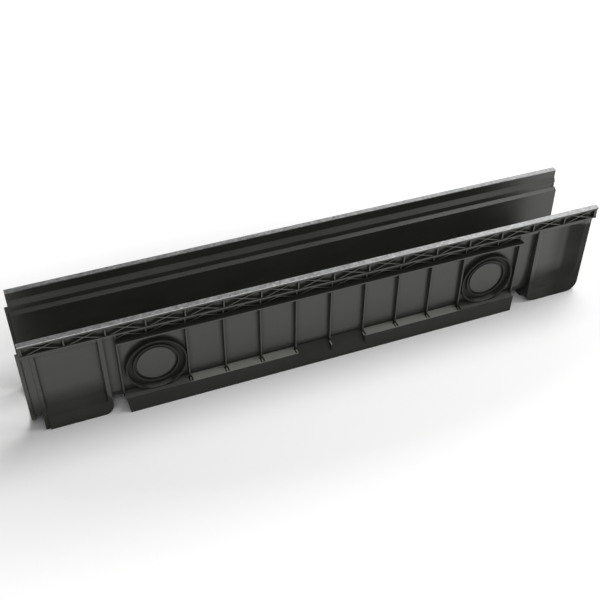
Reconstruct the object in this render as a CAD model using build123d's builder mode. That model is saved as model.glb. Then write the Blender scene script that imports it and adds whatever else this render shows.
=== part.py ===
from build123d import *
import os
from math import acos, atan2, copysign, degrees, hypot

# Linear drain channel of nominal width 100: one black moulding and two steel edge rails.
# Frame: X along the channel, Y across it, Z up, origin on the ground under the middle
# of the whole length. The tongue end is at -X, the socket end at +X.

# Overall sizes, in millimetres
rim_length = 1000
width = 143
height = 191
wall = 2.8
web = 2.4

# Steel edge rail
rail_cover = 9.5
rail_thickness = 1.5
rail_web_depth = 7
rail_clearance = 0.1
slot_skin = 1.3

# Water way and grating seat, as half widths and depths under the rim
rebate_depth = 16
seat_half = 56.4
seat_depth = 33
seat_slope = 9
seat_lead = 0.6
bore_half = 50.3
ledge_drop = 4.5
bore_draft = 2.5
floor_radius = 35
floor_clearance = 5

# Lattice under the rim
panel_pitch = 62
lattice_depth = 22.5
lattice_setback = 2
plate_setback = 1
brace = 1.9
shelf_drop = 42
shelf_setback = 2.5
lower_setback = 10.5
stiffened_length = 718

# Ribs and base of the stiffened middle
rib_panels = 4
rib_reach_top = 60.5
rib_reach_foot = 57
base_height = 29
base_length = 705.5
base_half = 71
ledge_half = 67.3
ledge_length = 714
notch_width = 7
slope_panels = 1
slope_drop = 15
slope_rise = 3

# Pipe knock-outs
knockout_offset = 300
knockout_height = 78
outer_ring_radius = 50
outer_ring_half = 60
inner_ring_radius = 38
inner_ring_half = 55.5
disc_radius = 31.5
disc_half = 54

# Dished panels at the two ends, placed from the end of the rim that they stand at
pan_half = 61.5
pan_sweep_radius = 60
pan_sweep_start = 58
pan_turn_radius = 8.4
post_turn_radius = 5.5
lip_width = 7
left_pan_start = 12.5
left_pan_end = 122
right_pan_length = 108
flare_land = 12
corner_setback = 4
gap_corner_radius = 17
socket_corner_radius = 21
end_post_half = 58.6
foot_rise = 19
foot_half = 39.5

# Tongue, socket and the collar round the trough behind them
tongue_reach = 5.5
tongue_half = 58.8
tongue_wall = 2.2
tongue_radius = 46
tongue_drop = 24
tongue_lift = 1
root_width = 2
root_step = 1
collar_half = 59.4
collar_radius = 53
socket_radius = 42
socket_depth = 6.5
joint_clearance = 0.3

# Worked out from the sizes above
half_width = width / 2
rebate_half = half_width - rail_cover
mid_x = tongue_reach / 2
left_end = mid_x - rim_length / 2
right_end = mid_x + rim_length / 2
right_pan_start = right_end - right_pan_length
plastic_top = height - rail_thickness
lattice_foot = height - lattice_depth
shelf_top = height - shelf_drop
bore_top = height - seat_depth - ledge_drop
floor_top = floor_clearance + wall
wall_half = bore_half + wall
rim_wall_half = rebate_half + wall
slot_width = rail_thickness + 2 * rail_clearance
slot_depth = rail_web_depth + rail_clearance
post_start = left_end + left_pan_start
post_end = post_start + lip_width
pan_end = left_end + left_pan_end
sweep_reach = pan_half - wall_half
sweep_run = (sweep_reach * (2 * pan_sweep_radius - sweep_reach)) ** 0.5
flare_start = right_end - flare_land - sweep_run
corner_x = flare_start - corner_setback
corner_z = pan_sweep_start + corner_setback
rib_xs = [mid_x + panel_pitch * n for n in range(-rib_panels, rib_panels + 1)]
stiffened_ends = [mid_x - stiffened_length / 2, mid_x + stiffened_length / 2 - web]
knockout_xs = [mid_x - knockout_offset, mid_x + knockout_offset]


def symmetric_face(half):
    # A closed section from the corner points of its +Y half, listed from the top down
    mirrored = [(-y, z) for y, z in reversed(half)]
    with BuildLine() as outline:
        Polyline(*half, *mirrored, close=True)
    return make_face(outline.edges())


def trough_section(growth):
    # The water way and grating rebate; growth of one wall gives the outside of the trough
    section = symmetric_face([
        (rebate_half + growth, height + wall),
        (rebate_half + growth, height - rebate_depth - growth),
        (seat_half + seat_lead + growth, height - rebate_depth - seat_slope - growth),
        (seat_half + growth, height - seat_depth - growth),
        (bore_half + growth, bore_top - growth),
        (bore_half - bore_draft + growth, floor_top - growth),
    ])
    fillet(section.vertices().group_by(Axis.Y)[0], floor_radius + growth)


def u_section(half, bottom, top, radius, mode=Mode.ADD):
    # A filled U: straight sides standing on two rounded corners
    with BuildSketch() as filled:
        section = symmetric_face([(half, top), (half, bottom)])
        fillet(section.vertices().group_by(Axis.Y)[0], radius)
    add(filled.sketch, mode=mode)


def u_ring(outer_half, outer_bottom, thickness, top):
    # The same U as a band of even thickness, for the tongue and for its groove
    u_section(outer_half, outer_bottom, top, tongue_radius)
    inner_radius = tongue_radius - thickness
    inner_bottom = outer_bottom + thickness
    u_section(outer_half - thickness, inner_bottom, top, inner_radius, Mode.SUBTRACT)


def braced_row(first_x, last_x, foot, top):
    # Posts at the panel pitch with crossed braces between them, in front elevation
    row_height = top - foot
    row_middle = (foot + top) / 2
    brace_length = hypot(panel_pitch, row_height)
    brace_angle = degrees(atan2(row_height, panel_pitch))
    panels = int(rim_length / panel_pitch / 2) + 1
    for n in range(-panels, panels + 1):
        with Locations((mid_x + panel_pitch * n, row_middle)):
            Rectangle(web, row_height)
        with Locations((mid_x + panel_pitch * (n + 0.5), row_middle)):
            Rectangle(brace_length, brace, rotation=brace_angle)
            Rectangle(brace_length, brace, rotation=-brace_angle)
    with Locations(((first_x + last_x) / 2, row_middle)):
        Rectangle(last_x - first_x, row_height, mode=Mode.INTERSECT)
        with Locations((-(last_x - first_x - web) / 2, 0), ((last_x - first_x - web) / 2, 0)):
            Rectangle(web, row_height)


def dished_region(start, turn_start, end, turn_radius, lip_half, growth):
    # All that lies in front of a panel which runs straight and then turns out to its lip.
    # Drawn along local X with the channel's middle plane at y = 0; growth moves it inwards.
    back = growth - wall_half
    front = growth - lip_half
    outside = -2 * half_width
    radius = turn_radius + growth
    centre_y = -wall_half - turn_radius
    turn = copysign(degrees(acos((front - centre_y) / radius)), start - end)
    with BuildLine() as outline:
        turned = CenterArc((turn_start, centre_y), radius, 90, turn)
        Polyline(turned @ 1, (end, front), (end, outside), (start, outside), (start, back))
        Line((start, back), (turn_start, back))
    make_face(outline.edges())


def down_the_wall(x):
    # Sketch plane across the channel with local X pointing down from the rim
    return Plane(origin=(x, 0, height), x_dir=(0, 0, -1), z_dir=(1, 0, 0))


def foot_sweep(first_x, last_x, growth):
    # Solid room in front of a panel that turns out at its foot
    foot_depth = height - pan_sweep_start
    with BuildSketch(down_the_wall(first_x)) as section:
        dished_region(lattice_depth, foot_depth, height, pan_sweep_radius, pan_half, growth)
    extrude(section.sketch, amount=last_x - first_x)


def flare_sweep(growth):
    # More of that room, above the foot, where the panel turns out to the socket
    with BuildSketch(Plane.XY.offset(corner_z)) as plan:
        dished_region(
            right_pan_start, flare_start, right_end, pan_sweep_radius, pan_half, growth
        )
    extrude(plan.sketch, amount=lattice_foot - corner_z)


def corner_sweep(growth):
    # The room between the two: the foot's section carried round to the socket
    foot_depth = height - pan_sweep_start
    reach = height + flare_land
    with BuildSketch(down_the_wall(corner_x)) as section:
        dished_region(height - corner_z, foot_depth, reach, pan_sweep_radius, pan_half, growth)
    turning_line = Axis((corner_x, 0, corner_z), (0, -1, 0))
    revolve(section.sketch, axis=turning_line, revolution_arc=90)


def side_turn(far_x, turn_x, lip_x, turn_radius, lip_half, growth):
    # Bounds the room where the panel turns out at one of its upright sides
    with BuildSketch() as plan:
        dished_region(far_x, turn_x, lip_x, turn_radius, lip_half, growth)
    extrude(plan.sketch, amount=height, mode=Mode.INTERSECT)


def tongue_dish(growth):
    # Room in front of the panel at the tongue end, with turns at its foot and both sides
    foot_sweep(post_end, pan_end, growth)
    post_turn = post_end + post_turn_radius
    side_turn(pan_end, post_turn, post_start, post_turn_radius, end_post_half, growth)
    pan_turn = pan_end - lip_width - pan_turn_radius
    side_turn(post_start, pan_turn, pan_end, pan_turn_radius, pan_half, growth)


def socket_dish(growth):
    # Room in front of the panel at the socket end, which flares out towards the socket
    foot_sweep(right_pan_start, corner_x, growth)
    flare_sweep(growth)
    corner_sweep(growth)
    pan_turn = right_pan_start + lip_width + pan_turn_radius
    side_turn(right_end, pan_turn, right_pan_start, pan_turn_radius, pan_half, growth)


# Dished end panel at the tongue end
with BuildPart() as tongue_pan_room:
    tongue_dish(0)

with BuildPart() as tongue_pan:
    tongue_dish(web)
    add(tongue_pan_room.part, mode=Mode.SUBTRACT)
    with BuildSketch(Plane.XZ.offset(pan_half)):
        with Locations(((post_end + pan_end) / 2, lattice_foot / 2)):
            Rectangle(pan_end - post_end, lattice_foot)
        fillet(vertices().group_by(Axis.Y)[0].sort_by(Axis.X)[-1], gap_corner_radius)
    extrude(amount=-(pan_half - bore_half), mode=Mode.INTERSECT)

# Dished end panel at the socket end
with BuildPart() as socket_pan_room:
    socket_dish(0)

with BuildPart() as socket_pan:
    socket_dish(web)
    add(socket_pan_room.part, mode=Mode.SUBTRACT)
    with BuildSketch(Plane.XZ.offset(pan_half)):
        with Locations((right_end - right_pan_length / 2, lattice_foot / 2)):
            Rectangle(right_pan_length, lattice_foot)
        fillet(vertices().group_by(Axis.Y)[0].sort_by(Axis.X)[0], gap_corner_radius)
        fillet(vertices().group_by(Axis.Y)[0].sort_by(Axis.X)[-1], socket_corner_radius)
    extrude(amount=-(pan_half - bore_half), mode=Mode.INTERSECT)

# Everything else that stands on one side wall, between the rim and the base
with BuildPart() as side:
    with BuildSketch(Plane.XZ.offset(half_width - lattice_setback)):
        braced_row(left_end, right_end, lattice_foot, plastic_top)
    extrude(amount=-(half_width - lattice_setback - rebate_half - wall / 2))
    with BuildSketch(Plane.XZ.offset(half_width - lower_setback)):
        braced_row(*stiffened_ends, shelf_top, lattice_foot)
    extrude(amount=-(half_width - lower_setback - seat_half - wall / 2))
    # Knock-out rings, the outer one standing further out
    with BuildSketch(Plane.XZ.offset(outer_ring_half)):
        with Locations(*[(x, knockout_height) for x in knockout_xs]):
            Circle(outer_ring_radius)
            Circle(outer_ring_radius - web, mode=Mode.SUBTRACT)
    extrude(amount=-(outer_ring_half - bore_half + bore_draft + wall))
    with BuildSketch(Plane.XZ.offset(inner_ring_half)):
        with Locations(*[(x, knockout_height) for x in knockout_xs]):
            Circle(inner_ring_radius)
            Circle(inner_ring_radius - web, mode=Mode.SUBTRACT)
    extrude(amount=-(inner_ring_half - bore_half + bore_draft + wall))
    # The disc that is knocked out, raised from the wall inside its rings
    with BuildSketch(Plane.XZ.offset(disc_half)):
        with Locations(*[(x, knockout_height) for x in knockout_xs]):
            Circle(disc_radius)
    extrude(amount=-(disc_half - bore_half + bore_draft + wall))
    # Post behind the tongue, which runs down to the ground beside the panel
    with BuildSketch(Plane.XZ.offset(end_post_half)):
        with Locations(((post_start + post_end) / 2, lattice_foot / 2)):
            Rectangle(post_end - post_start, lattice_foot)
    extrude(amount=-web)
    add(tongue_pan.part)
    add(socket_pan.part)

# Base: a tray upside down, wider at the ground than at its ledge
with BuildPart() as base:
    with BuildSketch(Plane.XY):
        with Locations((mid_x, 0)):
            Rectangle(base_length, 2 * base_half)
    with BuildSketch(Plane.XY.offset(base_height)):
        with Locations((mid_x, 0)):
            Rectangle(ledge_length, 2 * ledge_half)
    loft()
    with BuildSketch(Plane.XY):
        with Locations((mid_x, 0)):
            Rectangle(base_length - 2 * web, 2 * (base_half - web))
    with BuildSketch(Plane.XY.offset(base_height - web)):
        with Locations((mid_x, 0)):
            Rectangle(ledge_length - 2 * web, 2 * (ledge_half - web))
    loft(mode=Mode.SUBTRACT)
    # Notches in the ledge where the ribs run down to the ground
    notch_span = ledge_half - web - wall_half
    with BuildSketch(Plane.XY.offset(base_height)):
        for x in rib_xs:
            with Locations((x, wall_half + notch_span / 2), (x, -wall_half - notch_span / 2)):
                Rectangle(notch_width, notch_span)
    extrude(amount=-web, mode=Mode.SUBTRACT)
    # The middle panels have a sloping front in the place of the ledge
    slope_length = 2 * slope_panels * panel_pitch
    slope_foot = base_height - slope_drop
    slope_half = ledge_half + (base_half - ledge_half) * slope_drop / base_height
    with BuildSketch(Plane.YZ.offset(mid_x - slope_length / 2)):
        with BuildLine():
            Polyline(
                (bore_half, base_height + slope_rise),
                (slope_half, slope_foot),
                (2 * base_half, slope_foot),
                (2 * base_half, 2 * base_height),
                (bore_half, 2 * base_height),
                close=True,
            )
        make_face()
        mirror(about=Plane.YZ)
    extrude(amount=slope_length, mode=Mode.SUBTRACT)
    with BuildSketch(Plane.YZ.offset(mid_x - slope_length / 2)):
        with BuildLine():
            Polyline(
                (bore_half, base_height + slope_rise),
                (slope_half, slope_foot),
                (slope_half - web, slope_foot - web / 2),
                (bore_half, base_height + slope_rise - 1.5 * web),
                close=True,
            )
        make_face()
        mirror(about=Plane.YZ)
    extrude(amount=slope_length)

# The moulding itself
with BuildPart() as channel_body:
    with BuildSketch(Plane.YZ.offset(left_end)):
        trough_section(wall)
        with Locations((0, plastic_top / 2)):
            Rectangle(width, plastic_top, mode=Mode.INTERSECT)
    extrude(amount=rim_length)
    # Plates along both rims: the seat of the rail and the foot of the lattice
    plate_half = half_width - plate_setback
    with BuildSketch(Plane.YZ.offset(left_end)):
        with Locations((0, plastic_top - web / 2)):
            Rectangle(width, web)
        with Locations((0, lattice_foot + web / 2)):
            Rectangle(2 * plate_half, web)
        # Housings of the slots that take the webs of the steel rails
        housing_half = (slot_width + slot_skin) / 2
        housing_drop = slot_depth + slot_skin
        housing_y = rim_wall_half + housing_half
        with Locations((housing_y, height - housing_drop / 2), (-housing_y, height - housing_drop / 2)):
            Rectangle(2 * housing_half, housing_drop)
        with Locations((0, plastic_top / 2)):
            Rectangle(width, plastic_top, mode=Mode.INTERSECT)
    extrude(amount=rim_length)
    # Shelf over the ribs
    with BuildSketch(Plane.YZ.offset(mid_x - stiffened_length / 2)):
        with Locations((0, shelf_top - web / 2)):
            Rectangle(2 * (half_width - shelf_setback), web)
    extrude(amount=stiffened_length)
    # Ribs, running round under the trough, and the two end ribs of the stiffened middle
    with BuildSketch(*[Plane.YZ.offset(x - web / 2) for x in rib_xs]):
        symmetric_face([
            (rib_reach_top, shelf_top - web / 2),
            (rib_reach_foot, base_height),
            (ledge_half - web / 2, base_height - web / 2),
            (base_half - web / 2, 0),
        ])
    extrude(amount=web)
    with BuildSketch(*[Plane.YZ.offset(x) for x in stiffened_ends]):
        symmetric_face([
            (rib_reach_top, shelf_top - web / 2),
            (rib_reach_foot, base_height - web),
        ])
    extrude(amount=web)
    # Transverse plates that carry the dished panels
    gap_plate_xs = [pan_end - web, right_pan_start]
    with BuildSketch(*[Plane.YZ.offset(x) for x in gap_plate_xs]):
        symmetric_face([
            (pan_half - web / 2, lattice_foot + web / 2),
            (pan_half - web / 2, foot_rise),
            (foot_half, 0),
        ])
    extrude(amount=web)
    # Collars round the trough at both ends, the left one with a step behind the tongue
    collar_top = lattice_foot + web / 2
    root_half = tongue_half - root_step
    with BuildSketch(Plane.YZ.offset(left_end)):
        u_section(root_half, tongue_lift + root_step, collar_top, tongue_radius - root_step)
    extrude(amount=root_width)
    with BuildSketch(Plane.YZ.offset(left_end + root_width)):
        u_section(collar_half, floor_clearance, collar_top, collar_radius)
    extrude(amount=left_pan_start - root_width)
    with BuildSketch(Plane.YZ.offset(right_end - flare_land)):
        u_section(pan_half - web / 2, 0, collar_top, socket_radius)
    extrude(amount=flare_land)
    add(base.part)
    add(side.part)
    mirror(side.part, about=Plane.XZ)
    # Water way
    with BuildSketch(Plane.YZ.offset(left_end)):
        trough_section(0)
    extrude(amount=rim_length, mode=Mode.SUBTRACT)
    # Slots that hold the webs of the steel rails
    with BuildSketch(Plane.YZ.offset(left_end)):
        slot_y = rim_wall_half + slot_width / 2
        with Locations((slot_y, height - slot_depth / 2), (-slot_y, height - slot_depth / 2)):
            Rectangle(slot_width, slot_depth)
    extrude(amount=rim_length, mode=Mode.SUBTRACT)
    # Tongue, and the groove at the other end that takes the next channel's tongue
    tongue_top = height - tongue_drop
    with BuildSketch(Plane.YZ.offset(left_end - tongue_reach)):
        u_ring(tongue_half, tongue_lift, tongue_wall, tongue_top)
    extrude(amount=tongue_reach)
    with BuildSketch(Plane.YZ.offset(right_end - socket_depth)):
        groove_wall = tongue_wall + 2 * joint_clearance
        groove_bottom = tongue_lift - joint_clearance
        u_ring(tongue_half + joint_clearance, groove_bottom, groove_wall, tongue_top)
    extrude(amount=socket_depth, mode=Mode.SUBTRACT)

# Steel rail: a cover strip with a web that stands in the moulding's slot
with BuildPart() as edge_rail_front:
    with BuildSketch(Plane.YZ.offset(left_end)):
        with Locations((-(half_width - rail_cover / 2), height - rail_thickness / 2)):
            Rectangle(rail_cover, rail_thickness)
        web_y = -(rim_wall_half + slot_width / 2)
        with Locations((web_y, height - rail_web_depth / 2)):
            Rectangle(rail_thickness, rail_web_depth)
    extrude(amount=rim_length)

with BuildPart() as edge_rail_rear:
    mirror(edge_rail_front.part, about=Plane.XZ)

channel_body.part.label = "channel_body"
edge_rail_front.part.label = "edge_rail_front"
edge_rail_rear.part.label = "edge_rail_rear"

os.makedirs("parts", exist_ok=True)
export_step(channel_body.part, "parts/channel_body.step")
export_step(edge_rail_front.part, "parts/edge_rail_front.step")
export_step(edge_rail_rear.part, "parts/edge_rail_rear.step")
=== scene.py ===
import math
import bpy
import numpy as np
from mathutils import Euler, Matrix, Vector

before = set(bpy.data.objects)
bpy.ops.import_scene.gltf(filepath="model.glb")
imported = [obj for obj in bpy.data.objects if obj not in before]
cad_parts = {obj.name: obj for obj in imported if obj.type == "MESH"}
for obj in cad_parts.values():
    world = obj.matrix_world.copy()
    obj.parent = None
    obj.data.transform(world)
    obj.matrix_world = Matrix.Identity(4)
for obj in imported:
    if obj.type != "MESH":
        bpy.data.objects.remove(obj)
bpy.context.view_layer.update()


def newMaterial(name):
    # An empty node tree with one Principled shader wired to the output
    made = bpy.data.materials.new(name)
    made.use_nodes = True
    tree = made.node_tree
    tree.nodes.clear()
    output = tree.nodes.new("ShaderNodeOutputMaterial")
    shader = tree.nodes.new("ShaderNodeBsdfPrincipled")
    tree.links.new(shader.outputs["BSDF"], output.inputs["Surface"])
    return made, tree, shader


def addNode(tree, kind, **settings):
    # Each setting goes to the input of that name, or else to the node itself
    made = tree.nodes.new(kind)
    for key, value in settings.items():
        if key in made.inputs:
            made.inputs[key].default_value = value
        else:
            setattr(made, key, value)
    return made


def feed(tree, value, socket):
    # A number or a colour is set on the socket, and another node's output is linked to it
    if isinstance(value, bpy.types.NodeSocket):
        tree.links.new(value, socket)
    elif isinstance(value, tuple):
        socket.default_value = (*value, 1.0)
    else:
        socket.default_value = value


def arithmetic(tree, operation, *values):
    made = addNode(tree, "ShaderNodeMath", operation=operation)
    for value, socket in zip(values, made.inputs):
        feed(tree, value, socket)
    return made.outputs[0]


def product(tree, *factors):
    result = factors[0]
    for factor in factors[1:]:
        result = arithmetic(tree, "MULTIPLY", result, factor)
    return result


def ramp(tree, value, fromLow, fromHigh, toLow, toHigh):
    # Straight line from one range to another, held at both ends; a limit is a number or an output
    made = addNode(tree, "ShaderNodeMapRange")
    limits = {"From Min": fromLow, "From Max": fromHigh, "To Min": toLow, "To Max": toHigh}
    for key, limit in limits.items():
        feed(tree, limit, made.inputs[key])
    feed(tree, value, made.inputs["Value"])
    return made.outputs["Result"]


def fade(tree, mask, share):
    # One where the mask is nought, and share where it is one
    return ramp(tree, mask, 0.0, 1.0, 1.0, share)


def lengthOf(tree, vector):
    made = addNode(tree, "ShaderNodeVectorMath", operation="LENGTH")
    feed(tree, vector, made.inputs[0])
    return made.outputs["Value"]


def partsOf(tree, vector):
    # The X, Y and Z of a vector
    made = addNode(tree, "ShaderNodeSeparateXYZ")
    feed(tree, vector, made.inputs["Vector"])
    return made.outputs


def mixColours(tree, factor, first, second):
    # With colours, inputs 6 and 7 of a Mix node are the two to mix, and output 2 is the result
    mixed = addNode(tree, "ShaderNodeMix", data_type="RGBA")
    for socket, value in ((0, factor), (6, first), (7, second)):
        feed(tree, value, mixed.inputs[socket])
    return mixed.outputs[2]


def objectPattern(tree, stretch=(1.0, 1.0, 1.0)):
    # Object coordinates times stretch, so that a pattern keeps its size on every piece
    place = addNode(tree, "ShaderNodeTexCoord")
    mapping = addNode(tree, "ShaderNodeMapping", Scale=stretch)
    feed(tree, place.outputs["Object"], mapping.inputs["Vector"])
    return mapping.outputs["Vector"]


def noise(tree, perMetre, detail, roughness, stretch):
    # Cloudy values from nought to one, about perMetre clouds to a metre before the stretch
    made = addNode(tree, "ShaderNodeTexNoise", Scale=perMetre, Detail=detail, Roughness=roughness)
    feed(tree, objectPattern(tree, stretch), made.inputs["Vector"])
    return made.outputs["Fac"]


def dress(nodeName, material):
    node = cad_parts[nodeName]
    node.data.materials.clear()
    node.data.materials.append(material)


# Lengths are in metres, heights are from the floor, and along and across are distances from the
# channel's middle. A pair holds the two ends of a gradual change.
plastic = {
    "colour": (0.0385, 0.0390, 0.0355),
    "paleFlow": (0.0475, 0.0480, 0.0435),
    "flow": {"perMetre": 9.0, "detail": 4.0, "roughness": 0.6, "stretch": (1.0, 2.5, 2.5)},
    "flowPales": (0.38, 0.68),         # values of the flow over which the resin turns pale
    "flowRoughens": (0.3, 0.7),        # and over which it turns rough
    "roughness": (0.28, 0.38),
    "grain": {"perMetre": 1400.0, "detail": 2.0, "roughness": 0.5, "stretch": (1.0, 1.0, 1.0)},
    "grainHeight": 0.00004,
    "grainStrength": 0.35,
    "edgeRound": 0.0007,
    "edgeSamples": 4,
    # Dust, as the share of a face that it covers; on the base ledge this pale cover is also
    # painted light
    "dustAndLightColour": (0.31, 0.31, 0.285),
    "dustAndLightLies": (0.86, 0.96),          # upward parts of the normal
    "dustAndLightHeights": (0.035, 0.045),     # between the base ledge and what is above it
    "ledgeDustAndLight": 0.95,                   # on the ledge, dust and painted light
    "ledgeCoverTo": (0.240, 0.250),          # along, where the ledge's dust and painted light thin out
    "ledgeCoverEnds": 0.30,                  # on the ledge past that
    "dustHigh": 0.03,                  # above the ledge
    "coverPatches": (0.25, 0.6),        # values of the flow
    "coverThinnest": 0.75,
    # Specular levels of the walls, and of the foot where it is lowered as painted shade
    "shine": 0.80,
    "footShadedShine": 0.14,
    "shadeOnSkirt": (0.034, 0.037),    # heights over which the painted shade fades out
    "shadeOnPanels": (0.046, 0.078),
    "panelsFrom": (0.378, 0.386),      # along
    # Shares of that level that are left elsewhere, lowered as painted shade
    "socketShine": 0.10,               # painted shade on the outside of the socket end
    "socketShade": (0.426, 0.452),     # along, towards the socket only
    "outerFaces": (0.0525, 0.0535),    # across, past which a face is outside
    "rimFoot": (0.150, 0.154),         # heights above which the rim starts
    "ringShine": 0.25,                 # painted shade: a band of less shine round the disc of a knock-out
    "ringCentres": (-0.29725, 0.30275),
    "ringHeight": 0.078,
    "ringStarts": (0.0325, 0.0345),    # radii
    "ringEnds": (0.0505, 0.0520),
    "withinWall": (0.0504, 0.0509),    # across, past which the bands show
    # Painted shade in creases: less shine where little is open round a point
    "creaseShine": 0.25,
    "creaseReach": 0.009,
    "creaseOpens": (0.45, 0.95),       # openness over which the painted shade in a crease fades out
    "creaseSamples": 8,
    "upwardShine": 0.15,               # painted shade on faces that look up, below the rim
    "looksUp": (0.735, 0.800),         # upward parts of the normal
    "rimUpwardShine": (0.22, 0.95),    # the same at the rim, where the painted shade fades out from left to right
    "rimShadeFades": (0.02, 0.46),         # along X from the middle, where it grows
}


def dustAndPaintedLight(tree, place, facing, flow):
    # Dust lies on level faces, and most of it in the middle of the base ledge, where the pale
    # cover is also painted light
    level = ramp(tree, facing["Z"], *plastic["dustAndLightLies"], 0.0, 1.0)
    along = arithmetic(tree, "ABSOLUTE", place["X"])
    onLedge = ramp(tree, along, *plastic["ledgeCoverTo"], plastic["ledgeDustAndLight"], plastic["ledgeCoverEnds"])
    byHeight = ramp(tree, place["Z"], *plastic["dustAndLightHeights"], onLedge, plastic["dustHigh"])
    patches = ramp(tree, flow, *plastic["coverPatches"], plastic["coverThinnest"], 1.0)
    return product(tree, level, byHeight, patches)


def ringShare(tree, place, centre):
    # Share of the shine that is left round the disc of the knock-out at centre, lowered there as
    # painted shade
    offset = addNode(tree, "ShaderNodeCombineXYZ")
    for axis, middle in (("X", centre), ("Z", plastic["ringHeight"])):
        feed(tree, arithmetic(tree, "SUBTRACT", place[axis], middle), offset.inputs[axis])
    radius = lengthOf(tree, offset.outputs["Vector"])
    pastDisc = ramp(tree, radius, *plastic["ringStarts"], 0.0, 1.0)
    withinRing = ramp(tree, radius, *plastic["ringEnds"], 1.0, 0.0)
    return fade(tree, product(tree, pastDisc, withinRing), plastic["ringShine"])


def specularLevel(tree, place, facing):
    # Full on the walls, and lowered as painted shade on the foot, the outside of the socket end,
    # round the discs of the knock-outs, in creases and on faces that look up; at the rim that
    # painted shade fades out from left to right
    along = arithmetic(tree, "ABSOLUTE", place["X"])
    across = arithmetic(tree, "ABSOLUTE", place["Y"])
    # Painted shade on the foot: less shine low down, reaching higher on the end panels
    footEnds = [ramp(tree, along, *plastic["panelsFrom"], onSkirt, onPanels)
                for onSkirt, onPanels in zip(plastic["shadeOnSkirt"], plastic["shadeOnPanels"])]
    walls = ramp(tree, place["Z"], *footEnds, plastic["footShadedShine"], plastic["shine"])

    # Painted shade on the outside of the socket end, below the rim
    nearSocket = ramp(tree, place["X"], *plastic["socketShade"], 0.0, 1.0)
    outside = ramp(tree, across, *plastic["outerFaces"], 0.0, 1.0)
    belowRim = ramp(tree, place["Z"], *plastic["rimFoot"], 1.0, 0.0)
    socket = fade(tree, product(tree, nearSocket, outside, belowRim), plastic["socketShine"])

    # Painted shade: a band of less shine round each disc
    bands = product(tree, *[ringShare(tree, place, centre) for centre in plastic["ringCentres"]])
    rings = fade(tree, ramp(tree, across, *plastic["withinWall"], 0.0, 1.0), bands)

    # Painted shade in creases: less shine where little is open round a point
    openness = addNode(tree, "ShaderNodeAmbientOcclusion", samples=plastic["creaseSamples"],
                       Distance=plastic["creaseReach"]).outputs["AO"]
    creases = ramp(tree, openness, *plastic["creaseOpens"], plastic["creaseShine"], 1.0)

    # Painted shade on faces that look up, fading out at the rim from left to right
    atRim = ramp(tree, place["X"], *plastic["rimShadeFades"], *plastic["rimUpwardShine"])
    byHeight = ramp(tree, place["Z"], *plastic["rimFoot"], plastic["upwardShine"], atRim)
    upward = ramp(tree, facing["Z"], *plastic["looksUp"], 1.0, byHeight)
    return product(tree, walls, rings, socket, creases, upward)


def mouldedPlastic():
    # Semi-gloss black polypropylene: cloudy flow marks, a fine grain, dust on its level faces
    # with painted light on the base ledge, and a shine lowered in places as painted shade
    made, tree, shader = newMaterial("mouldedPlastic")
    place = partsOf(tree, objectPattern(tree))
    facing = partsOf(tree, addNode(tree, "ShaderNodeNewGeometry").outputs["Normal"])
    flow = noise(tree, **plastic["flow"])
    pale = ramp(tree, flow, *plastic["flowPales"], 0.0, 1.0)
    resin = mixColours(tree, pale, plastic["colour"], plastic["paleFlow"])
    # Dust, and on the base ledge a pale cover that is also painted light
    dustyAndLit = mixColours(tree, dustAndPaintedLight(tree, place, facing, flow), resin, plastic["dustAndLightColour"])
    feed(tree, dustyAndLit, shader.inputs["Base Color"])
    rough = ramp(tree, flow, *plastic["flowRoughens"], *plastic["roughness"])
    feed(tree, rough, shader.inputs["Roughness"])
    feed(tree, specularLevel(tree, place, facing), shader.inputs["Specular IOR Level"])
    edge = addNode(tree, "ShaderNodeBevel", samples=plastic["edgeSamples"],
                   Radius=plastic["edgeRound"])
    bump = addNode(tree, "ShaderNodeBump", Strength=plastic["grainStrength"],
                   Distance=plastic["grainHeight"])
    feed(tree, noise(tree, **plastic["grain"]), bump.inputs["Height"])
    feed(tree, edge.outputs["Normal"], bump.inputs["Normal"])
    feed(tree, bump.outputs["Normal"], shader.inputs["Normal"])
    return made


dress("channel_body", mouldedPlastic())
print("channel dressed")


zinc = {
    "dark": (0.415, 0.420, 0.420),
    "light": (0.585, 0.590, 0.590),
    "spanglesPerMetre": 260.0,
    "roughness": (0.36, 0.52),
}


def galvanisedSteel():
    # Zinc spangle: angular cells of slightly different brightness and gloss
    made, tree, shader = newMaterial("galvanisedSteel")
    cells = addNode(tree, "ShaderNodeTexVoronoi", Scale=zinc["spanglesPerMetre"])
    feed(tree, objectPattern(tree), cells.inputs["Vector"])
    tone = addNode(tree, "ShaderNodeSeparateColor")
    feed(tree, cells.outputs["Color"], tone.inputs["Color"])
    shade = mixColours(tree, tone.outputs["Red"], zinc["dark"], zinc["light"])
    feed(tree, shade, shader.inputs["Base Color"])
    rough = ramp(tree, tone.outputs["Green"], 0.0, 1.0, *zinc["roughness"])
    feed(tree, rough, shader.inputs["Roughness"])
    shader.inputs["Metallic"].default_value = 1.0
    return made


steel = galvanisedSteel()
for railName in ("edge_rail_front", "edge_rail_rear"):
    dress(railName, steel)
print("rails dressed")


ground = {
    "reach": 14.0,                     # metres from the middle to each side
    "colour": (1.0, 1.0, 1.0),         # as the eye and reflections see it
    "bounce": (0.62, 0.62, 0.62),      # as it lights the object
    "roughness": 0.9,
    "glow": 0.45,
    "glowStarts": (0.28, 0.60),        # metres from the middle over which the glow grows
    "glowStretch": (0.45, 1.0, 1.0),   # how much of each length counts in that distance
}


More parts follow.
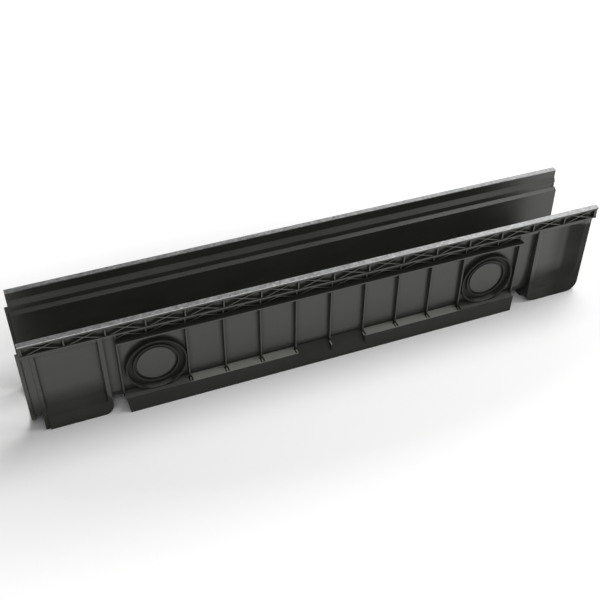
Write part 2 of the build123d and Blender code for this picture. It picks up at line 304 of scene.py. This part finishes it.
def paleFloor():
    # The floor is near white to the eye and in reflections, and a little darker as a bouncer.
    # Away from the object it also glows a little, so that the background fades into plain white.
    made, tree, shader = newMaterial("paleFloor")
    rays = addNode(tree, "ShaderNodeLightPath").outputs
    direct = arithmetic(tree, "MAXIMUM", rays["Is Camera Ray"], rays["Is Glossy Ray"])
    seen = arithmetic(tree, "MAXIMUM", direct, rays["Is Transmission Ray"])
    colour = mixColours(tree, seen, ground["bounce"], ground["colour"])
    feed(tree, colour, shader.inputs["Base Color"])
    away = lengthOf(tree, objectPattern(tree, ground["glowStretch"]))
    glow = ramp(tree, away, *ground["glowStarts"], 0.0, ground["glow"])
    feed(tree, product(tree, seen, glow), shader.inputs["Emission Strength"])
    shader.inputs["Emission Color"].default_value = (1.0, 1.0, 1.0, 1.0)
    shader.inputs["Roughness"].default_value = ground["roughness"]
    shader.inputs["Specular IOR Level"].default_value = 0.0
    return made


def layFloor():
    # A square about the middle, its corners at plus and minus the reach
    signs = np.array([(-1, -1, 0), (1, -1, 0), (1, 1, 0), (-1, 1, 0)], dtype=float)
    mesh = bpy.data.meshes.new("floor")
    mesh.from_pydata((signs * ground["reach"]).tolist(), [], [(0, 1, 2, 3)])
    floor = bpy.data.objects.new("floor", mesh)
    floor.data.materials.append(paleFloor())
    bpy.context.scene.collection.objects.link(floor)


layFloor()
print("floor laid")


studio = {
    "worldColour": (0.152, 0.152, 0.150),
    "lampsFace": (0.0, 0.0, 0.1),      # the point that every lamp is turned to
    "lamps": {                         # square soft boxes, in metres
        "skyBox": {"place": (1.35, 0.20, 3.0), "size": 2.2, "watts": 86.0},
        "backBox": {"place": (2.7, 3.0, 2.3), "size": 1.6, "watts": 7.0},
        "frontBox": {"place": (-0.6, -2.6, 3.2), "size": 2.6, "watts": 27.0},
        "sideBox": {"place": (2.45, -2.9, 1.25), "size": 1.2, "watts": 7.0},
    },
}


def hangLamp(name, place, size, watts):
    light = bpy.data.lights.new(name, "AREA")
    light.size = size
    light.energy = watts
    lamp = bpy.data.objects.new(name, light)
    lamp.location = place
    towards = Vector(studio["lampsFace"]) - Vector(place)
    lamp.rotation_euler = towards.to_track_quat("-Z", "Y").to_euler()
    bpy.context.scene.collection.objects.link(lamp)


def lightStudio():
    world = bpy.data.worlds.new("studio")
    world.use_nodes = True
    background = world.node_tree.nodes["Background"]
    background.inputs["Color"].default_value = (*studio["worldColour"], 1.0)
    bpy.context.scene.world = world
    for name, lamp in studio["lamps"].items():
        hangLamp(name, **lamp)


lightStudio()
print("lamps hung")


# Where the photograph was taken from, in the channel's own frame (metres, degrees)
viewpoint = {
    "place": (-0.46645, -1.1216, 1.0846),
    "turnRight": 21.26,
    "lookDown": 39.70,
    "focalPixels": 912.4,
    "framePixels": 600,
    "sensorWidth": 36.0,               # millimetres
    "clip": (0.05, 60.0),
}


def placeCamera():
    # The lens follows from the focal length in pixels of the frame. Unturned, a camera looks
    # straight down, so a level view is a tilt of 90 degrees.
    camera = bpy.data.objects.new("camera", bpy.data.cameras.new("camera"))
    camera.data.sensor_width = viewpoint["sensorWidth"]
    focalShare = viewpoint["focalPixels"] / viewpoint["framePixels"]
    camera.data.lens = focalShare * viewpoint["sensorWidth"]
    camera.data.clip_start, camera.data.clip_end = viewpoint["clip"]
    camera.location = viewpoint["place"]
    tilt = math.radians(90.0 - viewpoint["lookDown"])
    camera.rotation_euler = Euler((tilt, 0.0, -math.radians(viewpoint["turnRight"])))
    bpy.context.scene.collection.objects.link(camera)
    bpy.context.scene.camera = camera


placeCamera()
bpy.context.scene.view_settings.view_transform = "Standard"
print("camera placed")
